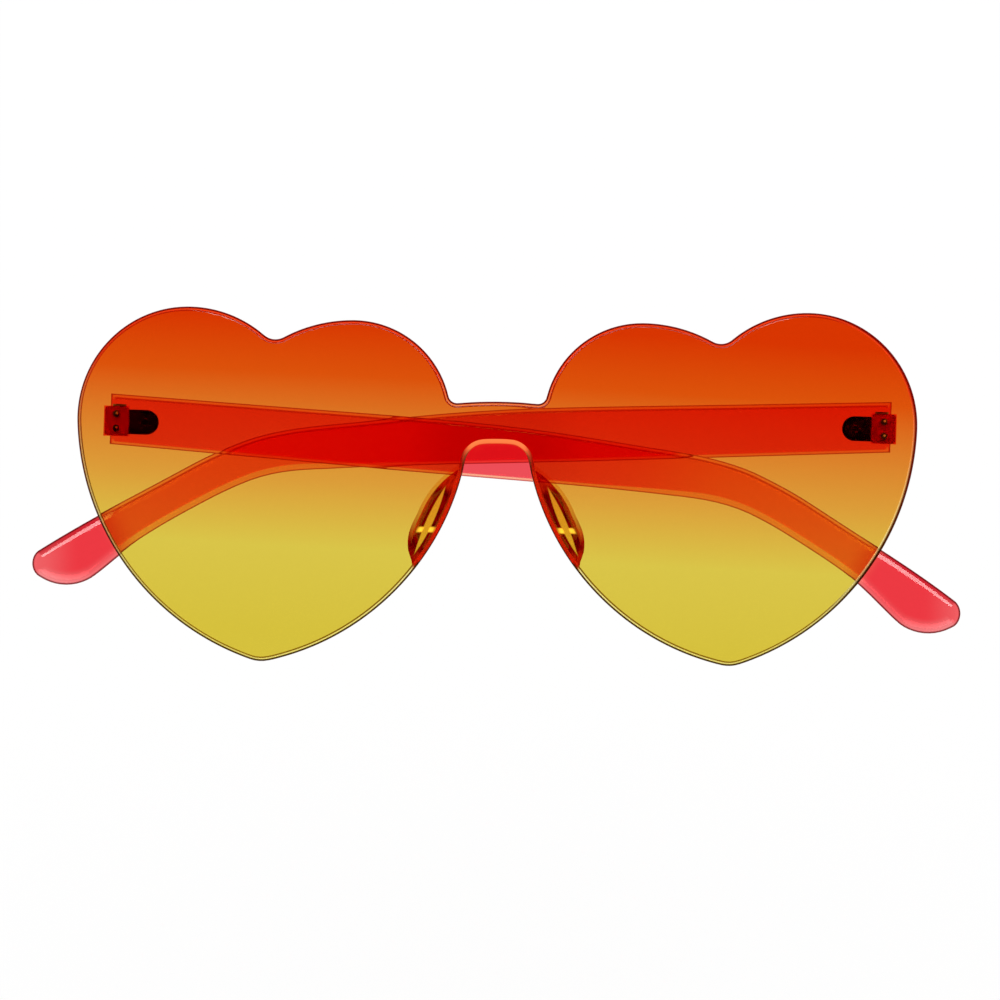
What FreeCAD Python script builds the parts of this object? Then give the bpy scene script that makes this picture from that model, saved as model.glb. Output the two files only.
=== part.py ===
import FreeCAD, Part
import math
import os
from FreeCAD import Vector

# Heart shaped sunglasses, lying folded with the lens facing up.
# X runs across the face, Y from chin to brow, Z out of the front of the lens. Millimetres.
# Left and right are the wearer's: the left hinge is at +X.

# Lens shield. Heights are from the middle of the lens, places from its middle line.
lens_thickness = 2.0
lens_front_radius = 220.0
lens_edge_bevel = 0.7
bridge_top = 13.75
bridge_rise = 0.45
bridge_corner_round = 1.5
inner_lobe_place = 24.9
inner_lobe_top = 28.0
inner_lobe_radius = 17.0
inner_shoulder_radius = 25.4
cleft_round = 3.0
outer_lobe_place = 53.8
outer_lobe_top = 30.3
outer_lobe_radius = 19.25
outer_shoulder_radius = 21.0
outer_flank_radius = 45.0
outer_flank_turn = 2.7
tip_round = 6.0
nose_flank_radius = 44.4
nose_flank_tilt = 7.8
nose_half_width = 5.0
nose_top = 6.6
nose_rise = 0.4
nose_corner_round = 3.4

# Nose pads, almonds on the back of the lens along the nose edges. Heights are behind the lens.
pad_top = 3.1
pad_bottom = -14.2
pad_width = 4.2
pad_foot_inset = 0.8
pad_foot_height = 1.0
pad_lip_inset = 0.05
pad_lip_height = 1.9
pad_height = 7.4
pad_crest_nose_inset = 1.5
pad_crest_lens_inset = 1.0
pad_crest_bevel = 0.3
pad_flange_margin = 0.6
pad_flange_thickness = 0.4

# Hinges. Each axis stands in from the widest point of the lens.
hinge_edge_inset = 6.75
hinge_shift = 0.5
hinge_height = 10.4
hinge_lean = 1.2
leaf_height = 5.0
knuckle_radius = 1.3
middle_knuckle = 1.9
knuckle_gap = 0.08
plate_thickness = 0.8
plate_outboard = 2.2
plate_inboard = 1.95
plate_corner_round = 0.5
plate_stand = 2.15
stud_radius = 0.6
stud_length = 1.3
stud_spacing = 2.5
lug_margin = 0.12
lug_cover = 0.15

# Hinge screws
screw_radius = 0.6
screw_clearance = 0.04
screw_head_radius = 1.2
screw_head_height = 0.5
screw_slot_width = 0.3
screw_slot_depth = 0.22

# Temple leaves and their rivets
temple_plate_start = 1.2
temple_plate_length = 5.5
temple_plate_width = 4.3
temple_plate_thickness = 1.0
temple_plate_sink = 0.35
pocket_gap = 0.06
rivet_radius = 0.6
rivet_length = 2.4
rivet_place = 4.4

# Temples. Places run along the temple from the hinge axis, heights are across it.
temple_length = 151.2
temple_height = 8.8
temple_thickness = 2.4
temple_edge_round = 1.15
temple_inner_offset = 1.65
temple_butt = 1.9
temple_droop = 2.55

# How far each folded temple leans away from the lens. The left one lies outside the right one.
left_rest_tilt = 1.05
right_rest_tilt = -2.0

# How many degrees each ear hook is bent down past its moulded shape
left_hook_set = 0.0
right_hook_set = 1.4

# Film of glue between bonded faces, and room round studs and rivets
bond_gap = 0.04

# All cuts run past the faces they open by this much
overrun = 1.0

# Outline of a temple: place as a share of its length, height as a share of its root height,
# and corner radius as a share of its length, from the brow side of the root round the tip
temple_outline_shares = (
    (0.450, 0.520, 2.200),
    (0.705, 0.140, 0.220),
    (1.001, -2.453, 0.015),
    (0.943, -3.089, 0.056),
    (0.863, -2.058, 0.180),
    (0.693, -0.650, 0.240),
)
temple_root_top_share = 0.555
temple_root_bottom_share = -0.450
temple_bend_place_share = 0.720
temple_bend_height_share = -0.300


def flat(x, y):
    return Vector(x, y, 0)


def mirrored(point):
    return Vector(-point.x, point.y, point.z)


def circle_meet(centre_a, radius_a, centre_b, radius_b, upper):
    """Upper or lower crossing of two circles."""
    across = centre_b - centre_a
    distance = across.Length
    along = (distance ** 2 + radius_a ** 2 - radius_b ** 2) / (2 * distance)
    half_chord = math.sqrt(radius_a ** 2 - along ** 2)
    unit = across / distance
    square = flat(-unit.y, unit.x)
    if (square.y > 0) != upper:
        square = square * -1
    return centre_a + unit * along + square * half_chord


def arc_about(start, end, centre):
    """The lesser arc from start to end about a centre."""
    radius = (start - centre).Length
    outward = (start + end) * 0.5 - centre
    middle = centre + outward * (radius / outward.Length)
    return Part.Arc(start, middle, end).toShape()


def arc_through(start, middle, end):
    return Part.Arc(start, middle, end).toShape()


def rounded_outline(corners):
    """Closed wire of straight runs, with each corner (point, radius) turned into a tangent arc."""
    count = len(corners)
    turns = []
    for index, (corner, radius) in enumerate(corners):
        before = corners[index - 1][0] - corner
        after = corners[(index + 1) % count][0] - corner
        if radius == 0:
            turns.append((corner, None, corner))
            continue
        half = before.getAngle(after) / 2
        reach = radius / math.tan(half)
        start = corner + before * (reach / before.Length)
        end = corner + after * (reach / after.Length)
        inward = before / before.Length + after / after.Length
        depth = radius / math.sin(half) - radius
        turns.append((start, corner + inward * (depth / inward.Length), end))
    edges = []
    for index, (start, middle, end) in enumerate(turns):
        if middle is not None:
            edges.append(arc_through(start, middle, end))
        edges.append(Part.LineSegment(end, turns[(index + 1) % count][0]).toShape())
    return Part.Wire(edges)


def prism(wire, low, high):
    """Solid between two levels over a flat outline."""
    solid = Part.Face(wire).extrude(Vector(0, 0, high - low))
    solid.translate(Vector(0, 0, low))
    return solid


def block(low, high):
    size = high - low
    return Part.makeBox(size.x, size.y, size.z, low)


def ball(radius):
    """Sphere about the lens's centre of curvature, its seam and poles away from the lens."""
    solid = Part.makeSphere(radius)
    solid.rotate(Vector(), Vector(0, 1, 0), 90)
    solid.translate(Vector(0, 0, -lens_front_radius))
    return solid


def upright_edges(shape, corner):
    """Straight edges along Z that stand on a flat point."""
    found = []
    for edge in shape.Edges:
        first, last = edge.Vertexes[0].Point, edge.Vertexes[-1].Point
        near = max(math.hypot(end.x - corner.x, end.y - corner.y) for end in (first, last))
        if near < lens_thickness / 1000:
            found.append(edge)
    return found


# Levels that the lens and the hinges share
lens_back_radius = lens_front_radius - lens_thickness


def back_level(x, y):
    """Level of the back of the lens."""
    return math.sqrt(lens_back_radius ** 2 - x ** 2 - y ** 2) - lens_front_radius


lug_outboard = plate_outboard + lug_margin
lug_inboard = plate_inboard + lug_margin
lug_half_height = leaf_height / 2 + lug_margin
hinge_place = outer_lobe_place + outer_lobe_radius - hinge_edge_inset
lug_reach = hinge_place + hinge_shift + lug_outboard
lug_level = back_level(lug_reach, hinge_height + lug_half_height) - lug_cover
axis_level = lug_level - bond_gap - plate_thickness - plate_stand

# Nose edge of the lens, which the pads follow
nose_corner = flat(nose_half_width, nose_top)
nose_tilt = math.radians(nose_flank_tilt)
nose_flank_centre = nose_corner + flat(math.cos(nose_tilt), math.sin(nose_tilt)) * nose_flank_radius


def seat(shape, side, tilt=0.0):
    """Moves a piece from its hinge's own frame, temple along +X, to the left or right hinge."""
    placed = shape.mirror(Vector(), Vector(1, 0, 0)) if side > 0 else shape.copy()
    placed.rotate(Vector(), Vector(0, 1, 0), -side * tilt)
    placed.rotate(Vector(), Vector(0, 0, 1), -hinge_lean)
    placed.translate(Vector(side * hinge_place + hinge_shift, hinge_height, axis_level))
    return placed


def lens_outline():
    """Outline with its sharp corners, and the corners with the radius that each one gets."""
    lobe_centre = flat(inner_lobe_place, inner_lobe_top - inner_lobe_radius)
    shoulder_centre = flat(inner_lobe_place, inner_lobe_top - inner_shoulder_radius)
    outer_shoulder_centre = flat(outer_lobe_place, outer_lobe_top - outer_shoulder_radius)
    outer_lobe_centre = flat(outer_lobe_place, outer_lobe_top - outer_lobe_radius)
    flank_turn = math.radians(outer_flank_turn)
    outward = flat(math.cos(flank_turn), -math.sin(flank_turn))
    side = outer_lobe_centre + outward * outer_lobe_radius
    flank_centre = side - outward * outer_flank_radius

    bridge_drop = bridge_top - lobe_centre.y
    bridge_corner = flat(lobe_centre.x - math.sqrt(inner_lobe_radius ** 2 - bridge_drop ** 2), bridge_top)
    inner_top = flat(inner_lobe_place, inner_lobe_top)
    cleft = circle_meet(shoulder_centre, inner_shoulder_radius,
                        outer_shoulder_centre, outer_shoulder_radius, True)
    outer_top = flat(outer_lobe_place, outer_lobe_top)
    tip = circle_meet(flank_centre, outer_flank_radius, nose_flank_centre, nose_flank_radius, False)

    runs = (
        (bridge_corner, inner_top, lobe_centre),
        (inner_top, cleft, shoulder_centre),
        (cleft, outer_top, outer_shoulder_centre),
        (outer_top, side, outer_lobe_centre),
        (side, tip, flank_centre),
        (tip, nose_corner, nose_flank_centre),
    )
    edges = [arc_about(*run) for run in runs]
    edges.append(arc_through(nose_corner, flat(0, nose_top + nose_rise), mirrored(nose_corner)))
    for start, end, centre in reversed(runs):
        edges.append(arc_about(mirrored(end), mirrored(start), mirrored(centre)))
    edges.append(arc_through(mirrored(bridge_corner), flat(0, bridge_top + bridge_rise), bridge_corner))
    corners = (
        (bridge_corner, bridge_corner_round),
        (cleft, cleft_round),
        (tip, tip_round),
        (nose_corner, nose_corner_round),
    )
    return Part.Wire(edges), corners


def make_lug():
    """Boss that gives the front leaf a level seat on the curved back, in the hinge's frame."""
    low = Vector(-lug_outboard, -lug_half_height, lug_level - axis_level)
    return block(low, Vector(lug_inboard, lug_half_height, low.z + lens_thickness * 2))


def make_studs(margin):
    """The two pins that anchor a front leaf in its lug, or the holes for them, in the hinge's frame."""
    middle = (plate_inboard - plate_outboard) / 2
    foot = plate_stand + plate_thickness
    pins = [
        Part.makeCylinder(stud_radius + margin, stud_length + margin, Vector(middle, height, foot))
        for height in (-stud_spacing / 2, stud_spacing / 2)
    ]
    return pins[0].fuse(pins[1])


def make_lens():
    outline, corners = lens_outline()
    rim_level = back_level(outer_lobe_place + outer_lobe_radius, outer_lobe_top)
    solid = prism(outline, rim_level - overrun, overrun)
    for corner, radius in corners:
        edges = upright_edges(solid, corner) + upright_edges(solid, mirrored(corner))
        solid = solid.makeFillet(radius, edges)
    solid = solid.common(ball(lens_front_radius)).cut(ball(lens_back_radius))
    front = max(solid.Faces, key=lambda face: face.Area)
    solid = solid.makeChamfer(lens_edge_bevel, front.Edges)
    middle_ball = ball(lens_front_radius - lens_thickness / 2)
    for side in (-1, 1):
        solid = solid.fuse(seat(make_lug(), side).common(middle_ball))
        solid = solid.cut(seat(make_studs(bond_gap), side))
    return solid.removeSplitter()


def nose_edge_point(height):
    rise = height - nose_flank_centre.y
    return flat(nose_flank_centre.x - math.sqrt(nose_flank_radius ** 2 - rise ** 2), height)


def turned(centre, profile, seam_side):
    """Solid of revolution about an upright line, from (radius, level) points. The seam is at one side."""
    points = [Vector(centre.x + seam_side * radius, centre.y, level) for radius, level in profile]
    points = [Vector(centre.x, centre.y, points[0].z)] + points + [Vector(centre.x, centre.y, points[-1].z)]
    return Part.Face(Part.makePolygon(points + points[:1])).revolve(centre, Vector(0, 0, 1), 360)


def make_nose_pad():
    """Where a cone along the nose edge meets one that bulges into the lens, on a thin foot."""
    top, bottom = nose_edge_point(pad_top), nose_edge_point(pad_bottom)
    middle = (top + bottom) / 2
    half = (top - bottom).Length / 2
    to_lens = (nose_flank_centre - middle) / (nose_flank_centre - middle).Length
    bulge = pad_width - nose_flank_radius + math.sqrt(nose_flank_radius ** 2 - half ** 2)
    lens_side_radius = (half ** 2 + bulge ** 2) / (bulge * 2)
    lens_side_centre = middle + to_lens * (bulge - lens_side_radius)

    seat_level = back_level(pad_width, pad_bottom)
    foot = seat_level - pad_foot_height
    lip = seat_level - pad_lip_height
    crest = seat_level - pad_height
    foot_radius = nose_flank_radius - pad_foot_inset
    nose_side = turned(nose_flank_centre, (
        (foot_radius, 0),
        (foot_radius, foot),
        (nose_flank_radius - pad_lip_inset, lip),
        (nose_flank_radius - pad_crest_nose_inset, crest),
    ), 1)
    lens_side = turned(lens_side_centre, (
        (lens_side_radius, 0),
        (lens_side_radius, lip),
        (lens_side_radius - pad_crest_lens_inset, crest),
    ), -1)
    body = nose_side.common(lens_side)
    crest_edges = [edge for edge in body.Edges if edge.BoundBox.ZMax < crest + pad_crest_bevel]
    body = body.makeChamfer(pad_crest_bevel, crest_edges)

    flange_radius = lens_side_radius + pad_flange_margin
    flange = turned(nose_flank_centre, ((foot_radius, 0), (foot_radius, foot)), 1)
    flange = flange.common(turned(lens_side_centre, ((flange_radius, 0), (flange_radius, foot)), -1))
    flange = flange.cut(ball(lens_back_radius - pad_flange_thickness))
    return body.fuse(flange).common(ball(lens_back_radius - bond_gap)).removeSplitter()


def along_hinge(radius, low, high):
    """Cylinder about the hinge axis, which runs along Y, between two heights."""
    return Part.makeCylinder(radius, high - low, Vector(0, low, 0), Vector(0, 1, 0))


def make_front_leaf():
    half = leaf_height / 2
    corners = [
        (flat(-plate_outboard, -half), plate_corner_round),
        (flat(plate_inboard, -half), plate_corner_round),
        (flat(plate_inboard, half), plate_corner_round),
        (flat(-plate_outboard, half), plate_corner_round),
    ]
    leaf = prism(rounded_outline(corners), plate_stand, plate_stand + plate_thickness)
    inner = middle_knuckle / 2 + knuckle_gap
    for low, high in ((-half, -inner), (inner, half)):
        web = block(Vector(-knuckle_radius, low, 0), Vector(knuckle_radius, high, plate_stand))
        leaf = leaf.fuse(web).fuse(along_hinge(knuckle_radius, low, high))
    return leaf.cut(along_hinge(screw_radius, -half, half)).fuse(make_studs(0)).removeSplitter()


def temple_plate_outline(margin):
    half = temple_plate_width / 2 + margin
    start = temple_plate_start - margin
    end = temple_plate_start + temple_plate_length + margin
    turn = end - half
    round_end = arc_through(flat(turn, -half), flat(end, 0), flat(turn, half))
    sides = [
        Part.LineSegment(flat(turn, half), flat(start, half)).toShape(),
        Part.LineSegment(flat(start, half), flat(start, -half)).toShape(),
        Part.LineSegment(flat(start, -half), flat(turn, -half)).toShape(),
    ]
    return Part.Wire([round_end] + sides)


pocket_level = -temple_inner_offset - temple_plate_sink
temple_plate_low = pocket_level + bond_gap
temple_plate_top = temple_plate_low + temple_plate_thickness


def make_rivet(margin):
    """Rivet through the leaf into the temple, its head level with the leaf, or the hole for it."""
    length = rivet_length + margin
    tail = Vector(rivet_place, 0, temple_plate_top - length)
    return Part.makeCylinder(rivet_radius + margin, length, tail)


def make_temple_leaf():
    plate = prism(temple_plate_outline(0), temple_plate_low, temple_plate_top)
    half = middle_knuckle / 2
    arm = block(Vector(-knuckle_radius / 2, -half, temple_plate_low),
                Vector(rivet_place, half, temple_plate_top))
    bore = along_hinge(screw_radius + screw_clearance, -half, half)
    leaf = plate.fuse(arm).fuse(along_hinge(knuckle_radius, -half, half))
    return leaf.cut(bore).cut(make_rivet(bond_gap)).removeSplitter()


def make_screw():
    """Pivot screw along Y, head on the brow side, with a driver slot."""
    half = leaf_height / 2
    head_top = half + screw_head_height
    screw = along_hinge(screw_radius, -half, half).fuse(along_hinge(screw_head_radius, half, head_top))
    slot = block(Vector(-screw_head_radius, head_top - screw_slot_depth, -screw_slot_width / 2),
                 Vector(screw_head_radius, head_top, screw_slot_width / 2))
    return screw.cut(slot).removeSplitter()


def lowered(point, centre, degrees):
    """A flat point swung down about another one."""
    turn = -math.radians(degrees)
    arm = point - centre
    return centre + flat(arm.x * math.cos(turn) - arm.y * math.sin(turn),
                         arm.x * math.sin(turn) + arm.y * math.cos(turn))


def temple_outline(hook_set):
    corners = [(flat(-temple_butt, temple_height * temple_root_top_share), 0)]
    bend = flat(temple_length * temple_bend_place_share, temple_height * temple_bend_height_share)
    for place, height, radius in temple_outline_shares:
        point = flat(temple_length * place, temple_height * height)
        if place > temple_bend_place_share:
            point = lowered(point, bend, hook_set)
        corners.append((lowered(point, Vector(), temple_droop), temple_length * radius))
    corners.append((flat(-temple_butt, temple_height * temple_root_bottom_share), 0))
    return rounded_outline(corners)


def make_temple(hook_set):
    solid = prism(temple_outline(hook_set), -temple_inner_offset - temple_thickness, -temple_inner_offset)
    level_edges = [edge for edge in solid.Edges if edge.BoundBox.ZLength < temple_edge_round]
    rims = [edge for edge in level_edges if edge.BoundBox.XMax > 0]
    solid = solid.makeFillet(temple_edge_round, rims)
    pocket = prism(temple_plate_outline(pocket_gap), pocket_level, 0)
    half = middle_knuckle / 2 + pocket_gap
    arm_pocket = block(Vector(-temple_butt - overrun, -half, pocket_level),
                       Vector(temple_plate_start, half, 0))
    return solid.cut(pocket).cut(arm_pocket).cut(make_rivet(bond_gap)).removeSplitter()


def make_all():
    pieces = {"lens": make_lens()}
    pad = make_nose_pad()
    pieces["left_nose_pad"] = pad
    pieces["right_nose_pad"] = pad.mirror(Vector(), Vector(1, 0, 0))
    sides = (
        ("left", 1, left_rest_tilt, left_hook_set),
        ("right", -1, right_rest_tilt, right_hook_set),
    )
    for name, side, tilt, hook_set in sides:
        pieces[name + "_front_leaf"] = seat(make_front_leaf(), side)
        pieces[name + "_hinge_screw"] = seat(make_screw(), side)
        pieces[name + "_temple_leaf"] = seat(make_temple_leaf(), side, tilt)
        pieces[name + "_temple_rivet"] = seat(make_rivet(0), side, tilt)
        pieces[name + "_temple"] = seat(make_temple(hook_set), side, tilt)
    return pieces


def stand(pieces):
    """Lifts the pieces so that the lowest one touches the ground."""
    lift = -min(piece.optimalBoundingBox(False, False).ZMin for piece in pieces.values())
    for piece in pieces.values():
        piece.translate(Vector(0, 0, lift))
    return lift


def main():
    os.makedirs("parts", exist_ok=True)
    pieces = make_all()
    lift = stand(pieces)
    for name, piece in pieces.items():
        piece.exportStep("parts/" + name + ".step")
        print(name, len(piece.Solids), "solids", round(piece.Volume, 3), "mm3", "valid", piece.isValid())
    print("hinge axes at x", round(hinge_shift - hinge_place, 4), "and", round(hinge_shift + hinge_place, 4))
    print("hinge axes at y", hinge_height, "z", round(axis_level + lift, 4))
    print("lens front at z", round(lift, 4))


main()
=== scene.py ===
import math

import bpy
import numpy as np
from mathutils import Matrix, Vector
from mathutils.geometry import delaunay_2d_cdt


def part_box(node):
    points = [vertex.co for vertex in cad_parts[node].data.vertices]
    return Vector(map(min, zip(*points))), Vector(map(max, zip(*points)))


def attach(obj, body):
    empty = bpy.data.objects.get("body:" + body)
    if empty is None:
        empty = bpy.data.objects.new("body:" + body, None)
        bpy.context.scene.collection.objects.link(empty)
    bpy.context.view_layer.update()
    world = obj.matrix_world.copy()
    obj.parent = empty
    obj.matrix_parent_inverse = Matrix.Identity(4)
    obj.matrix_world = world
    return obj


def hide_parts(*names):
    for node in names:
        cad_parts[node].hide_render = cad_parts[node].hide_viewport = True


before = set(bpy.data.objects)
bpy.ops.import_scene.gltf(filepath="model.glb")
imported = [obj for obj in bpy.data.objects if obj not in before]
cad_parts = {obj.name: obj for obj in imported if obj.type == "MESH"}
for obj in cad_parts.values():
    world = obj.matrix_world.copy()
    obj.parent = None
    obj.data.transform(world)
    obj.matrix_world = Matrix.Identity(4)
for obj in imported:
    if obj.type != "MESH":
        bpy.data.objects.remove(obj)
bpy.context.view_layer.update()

# Sizes in metres, in the frame of the part: the glasses lie folded, lens up, brow towards +Y
mm = 0.001

# Reading the frame's meshes: what counts as one point, a corner, the lens's back and its wall
weld_pitch = 0.002 * mm
shortest_step = 0.02 * mm
corner_angle = math.radians(35)
back_facing = -0.5
wall_facing = 0.3

# Sheets: rings that run into each other are thinned, and rows of the grid stand for even triangles
ring_keep_share = 0.98
row_share = 0.87
field_gap_share = 0.4
inside_only = 1
merge_distance = 1e-9

# Lens: a slice of a ball with a softened front rim
lens_front_radius = 220 * mm
lens_back_radius = 218 * mm
lens_centre = Vector((0, 0, 23.538 * mm - lens_front_radius))
lens_pitch = 0.8 * mm
lens_grid = 5 * mm
lens_crease = math.radians(35)
rim_round = 0.8 * mm
rim_back_round = 0.25 * mm
rim_slack = 0.01 * mm
rim_insets = [step * mm for step in (0.03, 0.10, 0.20, 0.34, 0.50, 0.66, 0.80, 0.92, 1.8)]
back_insets = [step * mm for step in (0.06, 0.25, 0.80, 1.8)]
lug_window = Vector((5 * mm, 4 * mm, 4 * mm))
lug_back_facing = -0.97
lug_rim_clearance = 0.05 * mm
lug_inset = 1.0
face_slot, rim_slot, lug_slot, wall_slot = range(4)

# Lens dye: heights between which it deepens, and the steps of a rim colour between them
tint_low = -27 * mm
tint_high = 27 * mm
tint_lean_share = 0.044
tint_steps = (0.00, 0.30, 0.55, 0.85)

# Lens rim: stretches of its edge, then its painted shade lines, painted glow and gloss as insets in
# millimetres, as the mesh carries them
nose_sides = (14.5 * mm, 13.9 * mm)
nose_tops = (11 * mm, 9 * mm)
arch_sides = (6.2 * mm, 4.2 * mm)
pad_rim_tops = (3.4 * mm, 1.6 * mm)
pad_rim_ends = (-13.9 * mm, -12.9 * mm)
right_flank = (56 * mm, 66 * mm)
rim_inner_shade = (0.48, 0.58)
rim_outer_shade = (0.40, 0.26)
rim_shade_shift = 0.16
rim_glow_start = (0.04, 0.16)
rim_gloss_start = (0.35, 0.60)

# Nose pads: the golden strip of painted light along each crest, the painted shade on the flanks and the
# painted glint bar, in the plan of the wearer's left pad
pad_middle = Vector((11.38 * mm, -6.15 * mm))
pad_way = Vector((0.4056, -0.9140))
pad_crease = math.radians(25)
pad_strip_half_length = 6.2 * mm
pad_strip_half_width = 0.55 * mm
pad_strip_fade = 0.1 * mm
pad_shade_sides = (1.9 * mm, 1.1 * mm)
pad_shade_ends = (7 * mm, 5 * mm)
pad_glint_bar_height = -7.8 * mm
pad_glint_bar_edges = (0.6 * mm, 0.2 * mm)
pad_glint_bar_ends = (1.5 * mm, 0.9 * mm)
pad_glint_start = (0.35 * mm, 0.6 * mm)
pad_foot_levels = (20.4 * mm, 21.0 * mm)
pad_belly = 0.6 * mm
pad_belly_place = 4.6 * mm
pad_belly_reach = 5.2 * mm
pad_belly_drop_share = 0.08

# Front leaves: the stud ends that show through the lugs, painted dark as shade with a painted glint on
# each
stud_top_depth = 0.12 * mm
stud_reach = 1.1 * mm
stud_glint_size = 0.2 * mm
stud_glint_shift = 0.12 * mm

# Temples: flat arms with rolled edges that swell to pillows at the ear hooks
arm_pitch = 0.9 * mm
arm_grid = 1.1 * mm
arm_crease = math.radians(60)
arm_insets = [step * mm for step in (0.02, 0.08, 0.2, 0.4, 0.7, 0.9, 1.1, 1.35, 1.6, 1.9, 2.2, 2.9)]
arm_roll = 1.1 * mm
hook_roll = 3.9 * mm
hook_start = 98 * mm
hook_end = 132 * mm
hook_trim = 1.25 * mm
hook_trim_place = 118.5 * mm
hook_trim_reach = 20 * mm
hook_lift = 1.3 * mm
hook_lift_reaches = (104 * mm, 122 * mm)
hook_ease_reaches = (132 * mm, 150 * mm)
hook_ease_share = 0.55
side_blend_share = 0.6

# Ear hooks past the lens: the circle of its outer flanks, and where the hook's own colour sets in
flank_centre = Vector((28.08 * mm, 12.26 * mm))
hook_radii = (40 * mm, 47 * mm)

# Arms' colours, with painted highlight and shade lines and painted light and shade on the hook's sides:
# spans of the frame, then reaches and insets in millimetres and falls as the mesh has them
middle_span = (18 * mm, 5 * mm)
right_span = (20 * mm, 50 * mm)
turn_reaches = (80, 108)
lit_end_reaches = (142, 150)
lit_side_falls = (0.3, 0.98)
shaded_side_falls = (-0.55, -0.75)
long_side_falls = (0.04, 0.16)
lower_side_falls = (0.02, 0.1)
upper_side_falls = (-0.02, -0.08)
edge_highlight_start = (0.12, 0.26)
edge_highlight_end = (0.66, 0.45)
edge_highlight_widening = 0.6
inner_shade_start = (0.54, 0.70)
inner_shade_end = (1.00, 0.80)
edge_shade_line = (0.32, 0.10)
edge_shade_shift = 0.1
arm_gloss_start = (0.2, 0.5)

# Grain of the finishes, in waves to the metre, and the depth of brushed lines
smear_grain = 45
flow_grain = 160
wall_grain = 500
patch_grain = 700
cloud_grain = 900
line_grain = 9000
line_depth = 0.02 * mm

# How strongly the plastics bend light; films only colour it, and the gloss on top mirrors it
lens_bend = 1.49
arm_bend = 1.04
film_bend = 1.02
pad_bend = 1.0
gloss_bend = 1.5

# Floor under the tips of the opened temples
floor_level = -146 * mm
floor_reach = 8.0
floor_grey = 0.9
floor_white_share = 0.96

# Room: heights at which its walls and its bright ring fade out, and how bright each is
wall_heights = (0.55, 0.2)
ring_heights = (0.78, 0.64)
ceiling_light = 0.3
ring_light = 0.7
mirrored_light = 0.2
fill_light = 0.45

# Lamps that face the glasses: place, width, depth and watts
lamps = {
    "brow_strip": ((0, 0.50, 0.765), 1.1, 0.32, 10.0),
    "south_box": ((0, -0.85, 0.16), 0.9, 0.22, 1.5),
}

# Camera straight above the lens, turned a little as in the photograph
camera_height = 724 * mm
camera_right = 0.6 * mm
camera_up = -2.6 * mm
camera_turn = math.radians(0.6)
camera_focal = 147.8
camera_sensor = 36


def paint(red, green, blue):
    """A colour as a painter reads it, 0 to 255, in the shader's linear terms."""
    def linear(value):
        share = value / 255
        return share / 12.92 if share <= 0.04045 else ((share + 0.055) / 1.055) ** 2.4
    return (linear(red), linear(green), linear(blue), 1)


black = paint(0, 0, 0)


class Wire:
    """A shader value that can be used in sums."""

    def __init__(self, bench, socket):
        self.bench = bench
        self.socket = socket

    def worked(self, operation, *values):
        return self.bench.node("ShaderNodeMath", {"operation": operation}, dict(enumerate(values)))

    def __add__(self, other):
        return self.worked("ADD", self, other)

    def __sub__(self, other):
        return self.worked("SUBTRACT", self, other)

    def __rsub__(self, other):
        return self.worked("SUBTRACT", other, self)

    def __mul__(self, other):
        return self.worked("MULTIPLY", self, other)

    def __truediv__(self, other):
        return self.worked("DIVIDE", self, other)

    def __abs__(self):
        return self.worked("ABSOLUTE", self)

    __radd__ = __add__
    __rmul__ = __mul__


class Bench:
    """The node tree in which one finish is mixed."""

    def __init__(self, tree):
        self.tree = tree
        tree.nodes.clear()

    def node(self, kind, settings=None, sockets=None, out=0):
        made = self.tree.nodes.new(kind)
        for name, value in (settings or {}).items():
            if name == "stops":
                self.set_stops(made.color_ramp, value)
            else:
                setattr(made, name, value)
        for key, value in (sockets or {}).items():
            socket = self.pick(made.inputs, key)
            if isinstance(value, Wire):
                self.tree.links.new(value.socket, socket)
            else:
                socket.default_value = value
        return Wire(self, self.pick(made.outputs, out)) if made.outputs else None

    @staticmethod
    def pick(sockets, key):
        """A socket by number, by identifier or by name."""
        if isinstance(key, int):
            return sockets[key]
        return next((socket for socket in sockets if socket.identifier == key), None) or sockets[key]

    @staticmethod
    def set_stops(ramp, stops):
        while len(ramp.elements) < len(stops):
            ramp.elements.new(1)
        for element, (place, colour) in zip(ramp.elements, stops):
            element.position = place
            element.color = colour

    def place(self):
        return self.node("ShaderNodeTexCoord", out="Object")

    def marked(self, name):
        """A measure that the mesh carries at its points."""
        return self.node("ShaderNodeAttribute", {"attribute_name": name}, out="Fac")

    def ray(self, kind):
        return self.node("ShaderNodeLightPath", out=kind)

    def axes(self, vector):
        parts = self.node("ShaderNodeSeparateXYZ", sockets={0: vector}).socket.node
        return [Wire(self, socket) for socket in parts.outputs]

    def stretched(self, place, stretch):
        return self.node("ShaderNodeVectorMath", {"operation": "MULTIPLY"}, {0: place, 1: stretch})

    def rise(self, value, start, end):
        """Goes smoothly from 0 to 1 as the value goes from start to end."""
        return self.node("ShaderNodeMapRange", {"interpolation_type": "SMOOTHSTEP"},
                         {"Value": value, "From Min": start, "From Max": end})

    def ramp(self, value, stops):
        return self.node("ShaderNodeValToRGB", {"stops": stops}, {"Fac": value})

    def blend(self, factor, first, second):
        return self.node("ShaderNodeMix", {"data_type": "RGBA", "clamp_factor": True},
                         {"Factor_Float": factor, "A_Color": first, "B_Color": second}, "Result_Color")

    def grain(self, place, per_metre, detail=2):
        return self.node("ShaderNodeTexNoise", None,
                         {"Vector": place, "Scale": per_metre, "Detail": detail}, "Fac")

    def bump(self, height, depth, strength):
        return self.node("ShaderNodeBump", None,
                         {"Height": height, "Distance": depth, "Strength": strength})

    def surface(self, **sockets):
        named = {name.replace("_", " "): value for name, value in sockets.items()}
        shader = self.node("ShaderNodeBsdfPrincipled", None, named)
        self.node("ShaderNodeOutputMaterial", None, {"Surface": shader})


def finish(name):
    material = bpy.data.materials.new(name)
    material.use_nodes = True
    return material, Bench(material.node_tree)


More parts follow.
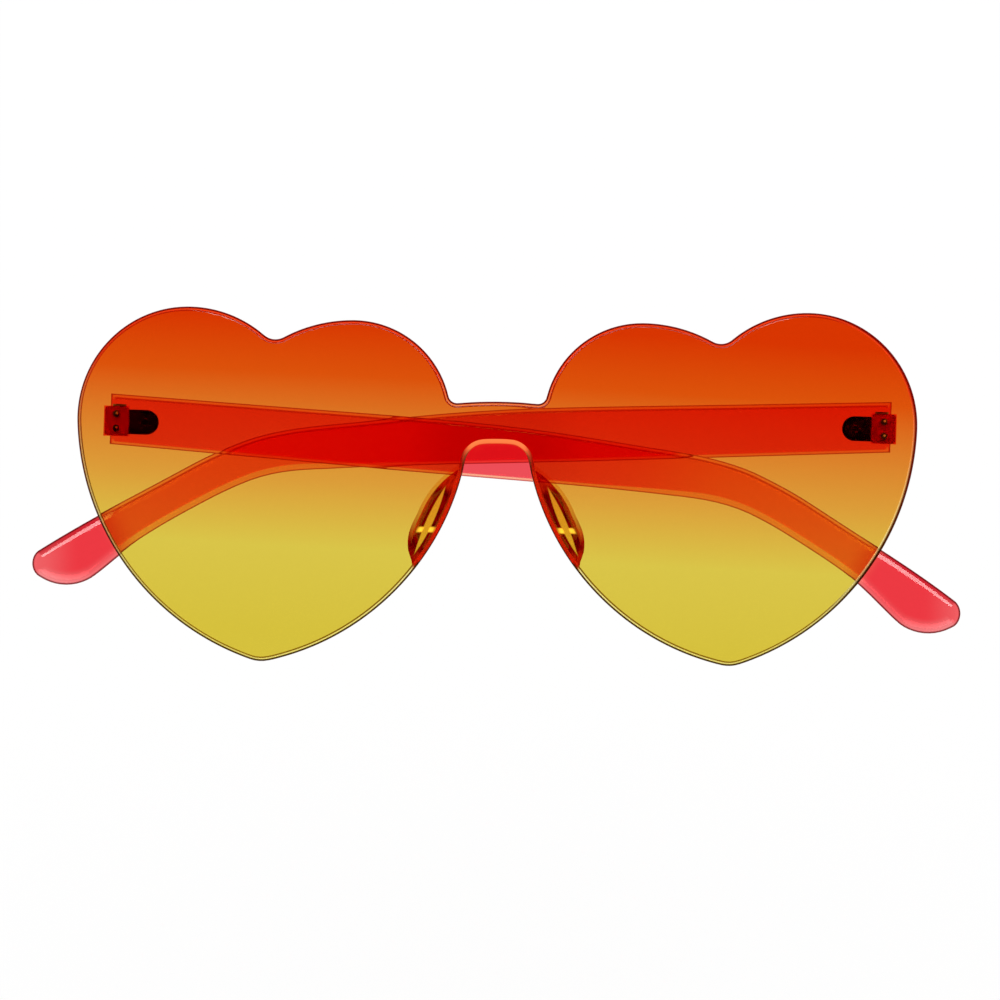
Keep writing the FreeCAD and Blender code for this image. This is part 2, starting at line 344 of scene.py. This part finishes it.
def dress(material, *names):
    for name in names:
        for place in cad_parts[name].material_slots:
            place.material = material


# Outlines read from the frame's own meshes

def corner_key(point):
    return tuple(round(value / weld_pitch) for value in point)


def chained(pairs):
    """Closed runs of points from a heap of short lines."""
    spots, beside = {}, {}
    for pair in pairs:
        keys = [corner_key(point) for point in pair]
        if keys[0] == keys[1]:
            continue
        for key, point in zip(keys, pair):
            spots[key] = point
        beside.setdefault(keys[0], []).append(keys[1])
        beside.setdefault(keys[1], []).append(keys[0])
    runs, used = [], set()
    for start in beside:
        if start in used:
            continue
        run, here = [], start
        while here is not None:
            used.add(here)
            run.append(spots[here])
            here = next((key for key in beside[here] if key not in used), None)
        runs.append(run)
    return runs


def run_length(run):
    return sum((run[index] - run[index - 1]).length for index in range(len(run)))


def lens_outline():
    """The edge between the lens's upright wall and its back, seen from above."""
    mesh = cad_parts["lens"].data
    sides = {}
    for face in mesh.polygons:
        corners = [mesh.vertices[index].co for index in face.vertices]
        for first, second in zip(corners, corners[1:] + corners[:1]):
            line = tuple(sorted((corner_key(first), corner_key(second))))
            sides.setdefault(line, []).append((face.normal.z, first, second))
    pairs = []
    for faces in sides.values():
        if len(faces) == 2:
            low, high = sorted(side[0] for side in faces)
            if low < back_facing and abs(high) < wall_facing:
                pairs.append([point.to_2d().to_3d() for point in faces[0][1:]])
    return [point.to_2d() for point in max(chained(pairs), key=run_length)]


def sliced(node, middle, normal):
    """The outline of a node where a plane cuts it."""
    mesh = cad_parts[node].data
    pairs = []
    for face in mesh.polygons:
        corners = [mesh.vertices[index].co for index in face.vertices]
        heights = [corner.dot(normal) - middle for corner in corners]
        cut = []
        for index in range(len(corners)):
            low, high = heights[index - 1], heights[index]
            if (low < 0) != (high < 0):
                cut.append(corners[index - 1].lerp(corners[index], low / (low - high)))
        if len(cut) == 2:
            pairs.append(cut)
    return max(chained(pairs), key=run_length)


def evened(run, pitch):
    """The same closed run as an even smooth curve through its points; sharp corners stay sharp."""
    points = [point for index, point in enumerate(run) if (point - run[index - 1]).length > shortest_step]
    count = len(points)

    def heading(index, ahead):
        here = points[index % count]
        back = here - points[(index - 1) % count]
        onward = points[(index + 1) % count] - here
        if back.angle(onward) > corner_angle:
            return (onward if ahead else back).normalized()
        return (back.normalized() * onward.length + onward.normalized() * back.length).normalized()

    curve = []
    for index in range(count):
        start, end = points[index], points[(index + 1) % count]
        length = (end - start).length
        leave, arrive = heading(index, True) * length, heading(index + 1, False) * length
        steps = max(1, round(length / pitch))
        for step in range(steps):
            t = step / steps
            curve.append(start * (1 + 2 * t) * (1 - t) ** 2 + leave * t * (1 - t) ** 2
                         + end * t * t * (3 - 2 * t) + arrive * t * t * (t - 1))
    return curve


# Sheets cut to an outline

def plotted(outline):
    return np.array([tuple(point) for point in outline])


def twice_area(edge):
    """Above 0 where the outline runs anticlockwise."""
    x, y = edge[:, 0], edge[:, 1]
    return (x * np.roll(y, -1) - y * np.roll(x, -1)).sum()


def inset_of(spots, edge):
    """How far each spot lies from the outline."""
    way = np.roll(edge, -1, 0) - edge
    length = (way ** 2).sum(1)
    found = []
    for spot in spots:
        share = np.clip(((spot - edge) * way).sum(1) / length, 0, 1)
        found.append(((spot - edge - share[:, None] * way) ** 2).sum(1).min())
    return np.sqrt(np.array(found))


def inside(spots, edge):
    ends = np.roll(edge, -1, 0)
    held = []
    for x, y in spots:
        crosses = (edge[:, 1] > y) != (ends[:, 1] > y)
        climb = np.where(crosses, ends[:, 1] - edge[:, 1], 1)
        meets = edge[:, 0] + (y - edge[:, 1]) * (ends[:, 0] - edge[:, 0]) / climb
        held.append((crosses & (x < meets)).sum() % 2)
    return np.array(held, bool)


def cut_sheet(outline, insets, grid):
    """Flat sheet of triangles inside an outline, with rings that follow the edge and a grid within."""
    edge = plotted(outline)
    if twice_area(edge) < 0:
        return cut_sheet(outline[::-1], insets, grid)
    way = np.roll(edge, -1, 0) - np.roll(edge, 1, 0)
    inward = np.stack((-way[:, 1], way[:, 0]), 1) / np.hypot(way[:, 0], way[:, 1])[:, None]
    spots = [edge]
    for inset in insets:
        ring = edge + inward * inset
        spots.append(ring[inset_of(ring, edge) > inset * ring_keep_share])
    low, high = edge.min(0), edge.max(0)
    field = np.array([(x + grid / 2 * (row % 2), y)
                      for row, y in enumerate(np.arange(low[1], high[1], grid * row_share))
                      for x in np.arange(low[0], high[0], grid)])
    field = field[inside(field, edge)]
    spots.append(field[inset_of(field, edge) > insets[-1] + grid * field_gap_share])
    count = len(edge)
    hem = [(index, (index + 1) % count) for index in range(count)]
    made = delaunay_2d_cdt([Vector(spot) for spot in np.concatenate(spots)], hem, [],
                           inside_only, merge_distance)
    flat = plotted(made[0])
    new_place = {old: new for new, olds in enumerate(made[3]) for old in olds}
    order = [new_place[index] for index in range(count)]
    return flat, [tuple(face) for face in made[2]], inset_of(flat, edge), order


def rolled(inset, radius):
    """Share of the full height, from 0 at the edge to 1 where the roll ends."""
    away = np.clip(1 - inset / radius, 0, 1)
    return np.sqrt(1 - away ** 2)


def make_piece(name, points, faces, body, node, materials, crease, marks):
    mesh = bpy.data.meshes.new(name)
    mesh.from_pydata([tuple(point) for point in points], [], faces)
    for mark, values in marks.items():
        carried = mesh.attributes.new(mark, "FLOAT", "POINT")
        carried.data.foreach_set("value", np.array(values, np.float32))
    for material in materials:
        mesh.materials.append(material)
    mesh.shade_smooth()
    mesh.set_sharp_from_angle(angle=crease)
    piece = bpy.data.objects.new(name, mesh)
    bpy.context.scene.collection.objects.link(piece)
    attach(piece, body)
    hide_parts(node)
    return piece


# Lens

def ball_height(flat, radius):
    return lens_centre.z + np.sqrt(radius ** 2 - (flat ** 2).sum(1))


def lug_faces():
    """The two hinge lugs on the back of the lens, as the frame has them."""
    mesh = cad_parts["lens"].data
    found = []
    for side in ("left", "right"):
        low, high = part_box(side + "_front_leaf")
        low, high = low - lug_window, high + lug_window
        for face in mesh.polygons:
            spot = face.center
            near = low.x < spot.x < high.x and low.y < spot.y < high.y and spot.z < high.z
            outward = spot - lens_centre
            on_back = face.normal.dot(outward.normalized()) < lug_back_facing
            past_rim = outward.length > lens_back_radius - lug_rim_clearance
            if near and not on_back and not past_rim:
                found.append([mesh.vertices[index].co.copy() for index in face.vertices])
    return found


def mould_lens(dye, rim, lug, wall):
    outline = evened(lens_outline(), lens_pitch)
    front, front_faces, front_inset, front_order = cut_sheet(outline, rim_insets, lens_grid)
    back, back_faces, back_inset, back_order = cut_sheet(outline, back_insets, lens_grid)
    front_drop = rim_round * (1 - rolled(front_inset, rim_round))
    back_lift = rim_back_round * (1 - rolled(back_inset, rim_back_round))
    front_z = ball_height(front, lens_front_radius) - front_drop
    back_z = ball_height(back, lens_back_radius) + back_lift
    points = [(x, y, z) for (x, y), z in zip(front, front_z)]
    points += [(x, y, z) for (x, y), z in zip(back, back_z)]
    shift = len(front)
    faces = list(front_faces) + [tuple(shift + index for index in face[::-1]) for face in back_faces]
    insets = list(front_inset) + list(back_inset)
    widest = [max(insets[index] for index in face) for face in faces]
    slots = [rim_slot if inset < rim_round + rim_slack else face_slot for inset in widest]
    for here, there, below, beyond in zip(front_order, front_order[1:] + front_order[:1],
                                          back_order, back_order[1:] + back_order[:1]):
        faces.append((there, here, shift + below, shift + beyond))
        slots.append(wall_slot)
    for corners in lug_faces():
        faces.append(tuple(range(len(points), len(points) + len(corners))))
        points += [tuple(corner) for corner in corners]
        insets += [lug_inset] * len(corners)
        slots.append(lug_slot)
    piece = make_piece("lens_shell", points, faces, "front", "lens",
                       (dye, rim, lug, wall), lens_crease, {"inset": [value / mm for value in insets]})
    piece.data.polygons.foreach_set("material_index", slots)


# Temples

def arm_plane(node):
    """Axes of the flat of a temple as it lies at rest, its middle level and half its thickness."""
    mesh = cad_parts[node].data
    normal = max(mesh.polygons, key=lambda face: face.area * (face.normal.z > 0)).normal.copy()
    along = (Vector((1, 0, 0)) - normal * normal.x).normalized()
    heights = [vertex.co.dot(normal) for vertex in mesh.vertices]
    low, high = min(heights), max(heights)
    return along, normal.cross(along), normal, (high + low) / 2, (high - low) / 2


def edge_fall(spots, edge):
    """How squarely the nearest stretch of an outline faces down, from -1 to 1."""
    way = np.roll(edge, -1, 0) - np.roll(edge, 1, 0)
    fall = np.sign(twice_area(edge)) * way[:, 0] / np.hypot(way[:, 0], way[:, 1])
    return np.array([fall[((spot - edge) ** 2).sum(1).argmin()] for spot in spots])


def stepped(values, start, end):
    """Goes smoothly from 0 to 1 as the values go from start to end."""
    share = np.clip((values - start) / (end - start), 0, 1)
    return share ** 2 * (3 - 2 * share)


def sprung(outline, side):
    """Lifts the ear hook a little from its moulded bend, as a worn pair has it."""
    edge = plotted(outline)
    reach = side * edge[:, 0] - (side * edge[:, 0]).min()
    lower = hook_trim * np.clip(1 - ((reach - hook_trim_place) / hook_trim_reach) ** 2, 0, 1) ** 2
    ease = 1 - hook_ease_share * stepped(reach, *hook_ease_reaches)
    upper = hook_lift * stepped(reach, *hook_lift_reaches) * ease
    on_top = np.clip(0.5 - side_blend_share * edge_fall(edge, edge), 0, 1)
    edge[:, 1] += upper * on_top + lower * (1 - on_top)
    return [Vector(point) for point in edge]


def mould_temple(name, side, plastic):
    """One arm; side is the way in which it points away from its hinge along X."""
    node = name + "_temple"
    along, up, normal, middle, half = arm_plane(node)
    cut = sliced(node, middle, normal)
    outline = evened([Vector((point.dot(along), point.dot(up))) for point in cut], arm_pitch)
    outline = sprung(outline, side)
    flat, flat_faces, inset, order = cut_sheet(outline, arm_insets, arm_grid)
    reach = side * flat[:, 0]
    reach = reach - reach.min()
    roll = arm_roll + (hook_roll - arm_roll) * stepped(reach, hook_start, hook_end)
    height = half * rolled(inset, roll)
    fall = edge_fall(flat, plotted(outline)) * np.clip(1 - inset / roll, 0, 1)
    rim = set(order)
    points = [along * x + up * y + normal * (middle + z) for (x, y), z in zip(flat, height)]
    under, marks = {}, {"inset": list(inset / mm), "reach": list(reach / mm), "fall": list(fall)}
    for index, ((x, y), z) in enumerate(zip(flat, height)):
        under[index] = index if index in rim else len(points)
        if index not in rim:
            points.append(along * x + up * y + normal * (middle - z))
            for values in marks.values():
                values.append(values[index])
    faces = list(flat_faces) + [tuple(under[index] for index in face[::-1]) for face in flat_faces]
    make_piece(name + "_arm", points, faces, node, node, (plastic,), arm_crease, marks)


# Nose pads

def bellied(point):
    """Pushes the lens side of a pad out towards its lower end, just under the back of the lens."""
    side = math.copysign(1, point.x)
    way = Vector((side * pad_way.x, pad_way.y))
    out = Vector((-side * way.y, side * way.x))
    spot = point.to_2d() - Vector((side * pad_middle.x, pad_middle.y))
    near = max(0, 1 - ((spot.dot(way) - pad_belly_place) / pad_belly_reach) ** 2)
    push = pad_belly * near ** 2 * min(1, max(0, spot.dot(out) / pad_belly))
    return point + (out * push).to_3d() - Vector((0, 0, push * pad_belly_drop_share))


def mould_pad(name, plastic):
    """The frame's pad, its facets smoothed, its creases kept and its lower end filled out."""
    node = name + "_nose_pad"
    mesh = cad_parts[node].data
    spots, points, faces = {}, [], []
    for face in mesh.polygons:
        corners = []
        for index in face.vertices:
            key = corner_key(mesh.vertices[index].co)
            if key not in spots:
                spots[key] = len(points)
                points.append(bellied(mesh.vertices[index].co))
            corners.append(spots[key])
        if len(set(corners)) == len(corners):
            faces.append(tuple(corners))
    make_piece(name + "_pad", points, faces, "front", node, (plastic,), pad_crease, {})


# Finishes

def lens_height(bench):
    across, up, _ = bench.axes(bench.place())
    return (up + across * tint_lean_share - tint_low) / (tint_high - tint_low)


def tinted(bench, height, *colours):
    """A colour that follows the lens's dye from the tips of the hearts to the brow."""
    return bench.ramp(height, [(step, paint(*colour)) for step, colour in zip(tint_steps, colours)])


def dyed_lens():
    """Clear plastic with a dye that deepens towards the brow."""
    material, bench = finish("dyed_lens")
    dye = bench.ramp(lens_height(bench), (
        (0.00, paint(222, 200, 64)),
        (0.27, paint(226, 204, 76)),
        (0.48, paint(228, 164, 60)),
        (0.82, paint(228, 86, 12)),
        (1.00, paint(224, 56, 2)),
    ))
    smears = bench.rise(bench.grain(bench.place(), smear_grain, 4), 0.45, 0.75)
    bench.surface(Base_Color=dye, Roughness=0.015 + smears * 0.03, Transmission_Weight=1.0, IOR=lens_bend)
    return material


def lens_rim():
    """The softened cut edge: painted shade as a dark line along both of its bounds, and painted light
    piped along the edge between them.
    """
    material, bench = finish("lens_rim")
    height = lens_height(bench)
    # The rim's colours by height: painted light piped along the edge, and painted shade for the dark lines
    # on either side of it
    piped_light_band = tinted(bench, height, (255, 240, 130), (255, 244, 164), (255, 206, 120), (250, 70, 26))
    outer_shade_line = tinted(bench, height, (82, 56, 0), (74, 40, 0), (98, 22, 2), (128, 4, 0))
    inner_shade_line = tinted(bench, height, (146, 108, 8), (130, 94, 8), (104, 40, 2), (184, 30, 4))
    inset = bench.marked("inset")
    across, up, _ = bench.axes(bench.place())
    nose = bench.rise(abs(across), *nose_sides) * bench.rise(up, *nose_tops)
    padded = bench.rise(up, *pad_rim_tops) * bench.rise(up, *pad_rim_ends) * nose
    arch = bench.rise(abs(across), *arch_sides) * nose
    flank = bench.rise(across, *right_flank)
    # Painted shade: the dark inner line, left out on the right flank
    dye = bench.blend(bench.rise(inset, *rim_inner_shade) * (1 - flank), piped_light_band, inner_shade_line)
    # Painted shade down the sides of the nose opening, painted light on the arch over it
    dye = bench.blend(nose, dye, bench.blend(arch, paint(176, 20, 6), paint(255, 120, 60)))
    dye = bench.blend(padded, dye, paint(246, 56, 14))
    # Painted shade: the dark outer line, wider on the right flank and narrower where the pads sit behind
    outer_shade = bench.rise(inset - flank * rim_shade_shift + padded * rim_shade_shift, *rim_outer_shade)
    dye = bench.blend(outer_shade * (1 - arch * 0.8), dye, outer_shade_line)
    # Painted glow: the arch over the nose gives off light of its own as emission
    glow = arch * bench.rise(inset, *rim_glow_start)
    bench.surface(Base_Color=dye, Roughness=0.05 + nose * 0.05, Transmission_Weight=0.72, IOR=film_bend,
                  Coat_Weight=bench.rise(inset, *rim_gloss_start) * 0.16, Coat_IOR=gloss_bend,
                  Coat_Roughness=0.05, Emission_Color=bench.blend(glow, black, paint(148, 102, 60)),
                  Emission_Strength=1.0)
    return material


def lens_wall():
    """The upright cut wall of the lens, which glows with the dye in it."""
    material, bench = finish("lens_wall")
    cloud = bench.grain(bench.stretched(bench.place(), (1, 1, 4)), wall_grain)
    dye = tinted(bench, lens_height(bench), (206, 166, 20), (212, 170, 30), (208, 112, 20), (192, 40, 4))
    dye = bench.blend(cloud * 0.3, dye, paint(255, 190, 90))
    bench.surface(Base_Color=dye, Roughness=0.08 + cloud * 0.1, Transmission_Weight=0.6, IOR=film_bend,
                  Coat_Weight=0.5, Coat_IOR=gloss_bend, Coat_Roughness=0.08)
    return material


def lug_dye():
    """The lugs are thick, so the same dye reads deep red in them."""
    material, bench = finish("lug_dye")
    cloud = bench.grain(bench.place(), cloud_grain)
    dye = bench.blend(cloud, paint(252, 10, 9), paint(255, 26, 22))
    bench.surface(Base_Color=dye, Roughness=0.06 + cloud * 0.06, Transmission_Weight=1.0, IOR=film_bend,
                  Coat_Weight=1.0, Coat_IOR=gloss_bend, Coat_Roughness=0.08)
    return material


def coral_plastic():
    """Translucent coral plastic, clearer in the arm than in the ear hook, with painted highlight and
    painted shade lines along its edges and painted light and shade on the ear hook's sides.
    """
    material, bench = finish("coral_plastic")
    inset = bench.marked("inset")
    reach = bench.marked("reach")
    fall = bench.marked("fall")
    flow = bench.grain(bench.stretched(bench.place(), (0.2, 1, 1)), flow_grain, 3)
    across, up, _ = bench.axes(bench.place())
    out = abs(across) - flank_centre.x
    down = up - flank_centre.y
    hook = bench.rise(out * out + down * down, hook_radii[0] ** 2, hook_radii[1] ** 2)
    turned = bench.rise(reach, *turn_reaches)
    curl = bench.blend(bench.rise(across, *right_span), paint(255, 108, 84), paint(255, 126, 92))
    dye = bench.blend(turned, paint(250, 84, 90), curl)
    dye = bench.blend(flow * 0.15, dye, paint(255, 130, 126))
    dye = bench.blend(bench.rise(abs(across), *middle_span) * 0.45, dye, paint(226, 66, 82))
    dye = bench.blend(hook, dye, paint(244, 60, 69))

    # Painted light and shade: pale along the hook's lower side and end, deep along its upper side, as
    # light falls on the pillowed hook
    lit_side = bench.rise(fall, *lit_side_falls) * hook
    end = bench.rise(reach, *lit_end_reaches) * hook
    shaded_side = bench.rise(fall, *shaded_side_falls) * hook
    dye = bench.blend(lit_side * 0.55 + end * 0.25, dye, paint(255, 164, 164))
    dye = bench.blend(shaded_side * 0.75, dye, paint(196, 24, 40))

    # Painted highlight lines along the long sides of the arm, a painted shade line inside its upper side,
    # and the dark painted shade line all round it
    arm = 1 - hook
    widened = bench.rise(fall, *lower_side_falls) * turned * edge_highlight_widening
    edge_highlight = bench.rise(inset, *edge_highlight_start) * bench.rise(inset - widened, *edge_highlight_end)
    edge_highlight = edge_highlight * bench.rise(abs(fall), *long_side_falls) * arm
    inner_shade = bench.rise(inset, *inner_shade_start) * bench.rise(inset, *inner_shade_end)
    inner_shade = inner_shade * bench.rise(fall, *upper_side_falls) * arm
    outer_shade = bench.rise(inset - hook * edge_shade_shift, *edge_shade_line) * (0.55 + hook * 0.35)
    dye = bench.blend(edge_highlight * 0.75, dye, paint(255, 190, 150))
    dye = bench.blend(inner_shade * 0.5, dye, paint(170, 20, 22))
    dye = bench.blend(outer_shade, dye, paint(112, 10, 14))
    gloss = bench.rise(inset, *arm_gloss_start) * (0.25 + hook * 0.55)
    bench.surface(Base_Color=dye, Roughness=0.04 + flow * 0.05, Transmission_Weight=1.0, IOR=arm_bend,
                  Coat_Weight=gloss, Coat_IOR=gloss_bend, Coat_Roughness=0.06)
    return material


def pad_amber():
    """Clear pads with painted light and shade: golden along the crest where light comes straight through,
    ruby and dark wine down the flanks, and a painted glint across them.
    """
    material, bench = finish("pad_amber")
    across, up, level = bench.axes(bench.place())
    out = abs(across) - pad_middle.x
    down = up - pad_middle.y
    along = out * pad_way.x + down * pad_way.y
    aside = abs(out * pad_way.y - down * pad_way.x)
    reach = along / pad_strip_half_length
    strip_edge = aside - (1 - reach * reach) * pad_strip_half_width
    lit_crest = bench.rise(strip_edge, pad_strip_fade, -pad_strip_fade)
    cloud = bench.grain(bench.stretched(bench.place(), (1, 0.5, 1)), cloud_grain, 3)
    cloud = bench.rise(cloud, 0.35, 0.7)
    shade = bench.rise(aside, *pad_shade_sides) * bench.rise(abs(along), *pad_shade_ends)
    glint_bar = bench.rise(abs(up - pad_glint_bar_height), *pad_glint_bar_edges) * bench.rise(aside, *pad_glint_bar_ends)
    foot = bench.rise(level, *pad_foot_levels)
    glint = glint_bar * bench.rise(aside, *pad_glint_start) * (1 - foot)
    # Painted shade down the flanks: ruby at their sides, dark wine beside the crest
    flank_shade_ruby = bench.blend(cloud, paint(132, 1, 0), paint(206, 8, 1))
    shade_wine = bench.blend(cloud, paint(34, 0, 0), paint(96, 0, 0))
    dye = bench.blend(shade, flank_shade_ruby, shade_wine)
    # A painted glint across the pad
    dye = bench.blend(glint_bar * (0.3 + cloud), dye, paint(255, 226, 140))
    # Painted light along the crest, where light comes straight through
    dye = bench.blend(lit_crest, dye, paint(255, 208, 110))
    dye = bench.blend(foot, dye, paint(252, 226, 170))
    # The glint also gives off a little painted light as emission
    bench.surface(Base_Color=dye, Roughness=0.03 + cloud * 0.05, Transmission_Weight=1.0, IOR=pad_bend,
                  Coat_Weight=0.25, Coat_IOR=gloss_bend, Coat_Roughness=0.04,
                  Emission_Color=bench.blend(glint, black, paint(255, 232, 190)), Emission_Strength=1.4)
    return material


def stud_axes(side):
    """Where the two anchor studs of a front leaf stand, from the tops of its mesh."""
    low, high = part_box(side + "_front_leaf")
    tops = [vertex.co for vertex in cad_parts[side + "_front_leaf"].data.vertices
            if vertex.co.z > high.z - stud_top_depth]
    middle = (low.y + high.y) / 2
    halves = ([top for top in tops if top.y < middle], [top for top in tops if top.y > middle])
    return [sum(half, Vector()) / len(half) for half in halves]


def brushed_metal(name, dark, light, along, rough=0.26, metallic=0.9, studs=()):
    """Plated steel with fine lines from rolling and brushing; stud ends are painted dark as shade, each
    with a small painted glint.
    """
    material, bench = finish(name)
    place = bench.place()
    lines = bench.grain(bench.stretched(place, along), line_grain, 3)
    patches = bench.grain(place, patch_grain)
    dye = bench.blend(lines * 0.6 + patches * 0.4, dark, light)
    across, up, level = bench.axes(place)
    # Painted shade darkens each stud end, and a painted glint sits off its middle
    for stud in studs:
        end = bench.rise(level, stud.z - stud_top_depth, stud.z - stud_top_depth / 2)
        away = abs(across - stud.x - stud_glint_shift) + abs(up - stud.y - stud_glint_shift)
        near = bench.rise(away, stud_reach + stud_top_depth, stud_reach) * end
        stud_glint = bench.rise(away, stud_glint_size + stud_top_depth, stud_glint_size) * end
        dye = bench.blend(near, dye, paint(46, 8, 6))
        dye = bench.blend(stud_glint, dye, paint(255, 250, 240))
    bench.surface(Base_Color=dye, Metallic=metallic, Roughness=rough + lines * 0.22,
                  Normal=bench.bump(lines, line_depth, 0.35))
    return material


# Studio

def lay_floor():
    """A white table that keeps the shadow."""
    corners = [(x * floor_reach, y * floor_reach, floor_level)
               for x, y in ((-1, -1), (1, -1), (1, 1), (-1, 1))]
    mesh = bpy.data.meshes.new("floor")
    mesh.from_pydata(corners, [], [(0, 1, 2, 3)])
    floor = bpy.data.objects.new("floor", mesh)
    bpy.context.scene.collection.objects.link(floor)
    material, bench = finish("white_table")
    shown = bench.ray("Is Camera Ray") + bench.ray("Is Glossy Ray") + bench.ray("Is Transmission Ray")
    bare = bench.node("ShaderNodeBsdfDiffuse", None, {"Color": (floor_grey, floor_grey, floor_grey, 1)})
    white = bench.node("ShaderNodeEmission", None, {"Color": (1, 1, 1, 1), "Strength": 1.0})
    shader = bench.node("ShaderNodeMixShader", None, {0: shown * floor_white_share, 1: bare, 2: white})
    bench.node("ShaderNodeOutputMaterial", None, {"Surface": shader})
    mesh.materials.append(material)


def light_room():
    """A white backdrop to the eye and through the lens, under a dim ceiling."""
    world = bpy.data.worlds.new("studio")
    world.use_nodes = True
    bpy.context.scene.world = world
    bench = Bench(world.node_tree)
    seen = bench.ray("Is Camera Ray")
    through = bench.ray("Is Transmission Ray")
    mirrored = bench.ray("Is Glossy Ray")
    _, _, up = bench.axes(bench.node("ShaderNodeTexCoord", out="Generated"))
    wall = bench.rise(up, *wall_heights)
    ring = bench.rise(up, *ring_heights)
    rest = 1 - seen - through - mirrored
    level = seen + through * (ceiling_light + ring * ring_light)
    level = level + mirrored * wall * mirrored_light + rest * fill_light
    light = bench.node("ShaderNodeBackground", None, {"Color": (1, 1, 1, 1), "Strength": level})
    bench.node("ShaderNodeOutputWorld", None, {"Surface": light})


def hang_lamp(name, spot, width, depth, power):
    lamp = bpy.data.lights.new(name, "AREA")
    lamp.shape = "RECTANGLE"
    lamp.size = width
    lamp.size_y = depth
    lamp.energy = power
    holder = bpy.data.objects.new(name, lamp)
    holder.location = spot
    holder.rotation_euler = Vector(spot).to_track_quat("Z", "Y").to_euler()
    holder.visible_camera = False
    bpy.context.scene.collection.objects.link(holder)


def set_camera():
    lens = bpy.data.cameras.new("camera")
    lens.sensor_width = camera_sensor
    lens.lens = camera_focal
    camera = bpy.data.objects.new("camera", lens)
    camera.location = (camera_right, camera_up, camera_height)
    camera.rotation_euler = (0, 0, camera_turn)
    bpy.context.scene.collection.objects.link(camera)
    bpy.context.scene.camera = camera


bpy.context.scene.view_settings.view_transform = "Standard"

mould_lens(dyed_lens(), lens_rim(), lug_dye(), lens_wall())
coral = coral_plastic()
mould_temple("left", -1, coral)
mould_temple("right", 1, coral)
amber = pad_amber()
mould_pad("left", amber)
mould_pad("right", amber)
leaf_black = brushed_metal("leaf_black", paint(50, 8, 8), paint(78, 16, 16), (0.05, 1, 1))
leaf_grey = brushed_metal("leaf_grey", paint(236, 226, 222), paint(255, 250, 248), (1, 0.05, 1), 0.45, 0.0,
                          stud_axes("left") + stud_axes("right"))
screw_steel = brushed_metal("screw_steel", paint(120, 116, 112), paint(176, 170, 164), (1, 1, 0.05))
dress(leaf_black, "left_temple_leaf", "right_temple_leaf", "left_temple_rivet", "right_temple_rivet")
dress(leaf_grey, "left_front_leaf", "right_front_leaf")
dress(screw_steel, "left_hinge_screw", "right_hinge_screw")

lay_floor()
light_room()
for lamp_name, (spot, width, depth, power) in lamps.items():
    hang_lamp(lamp_name, spot, width, depth, power)
set_camera()
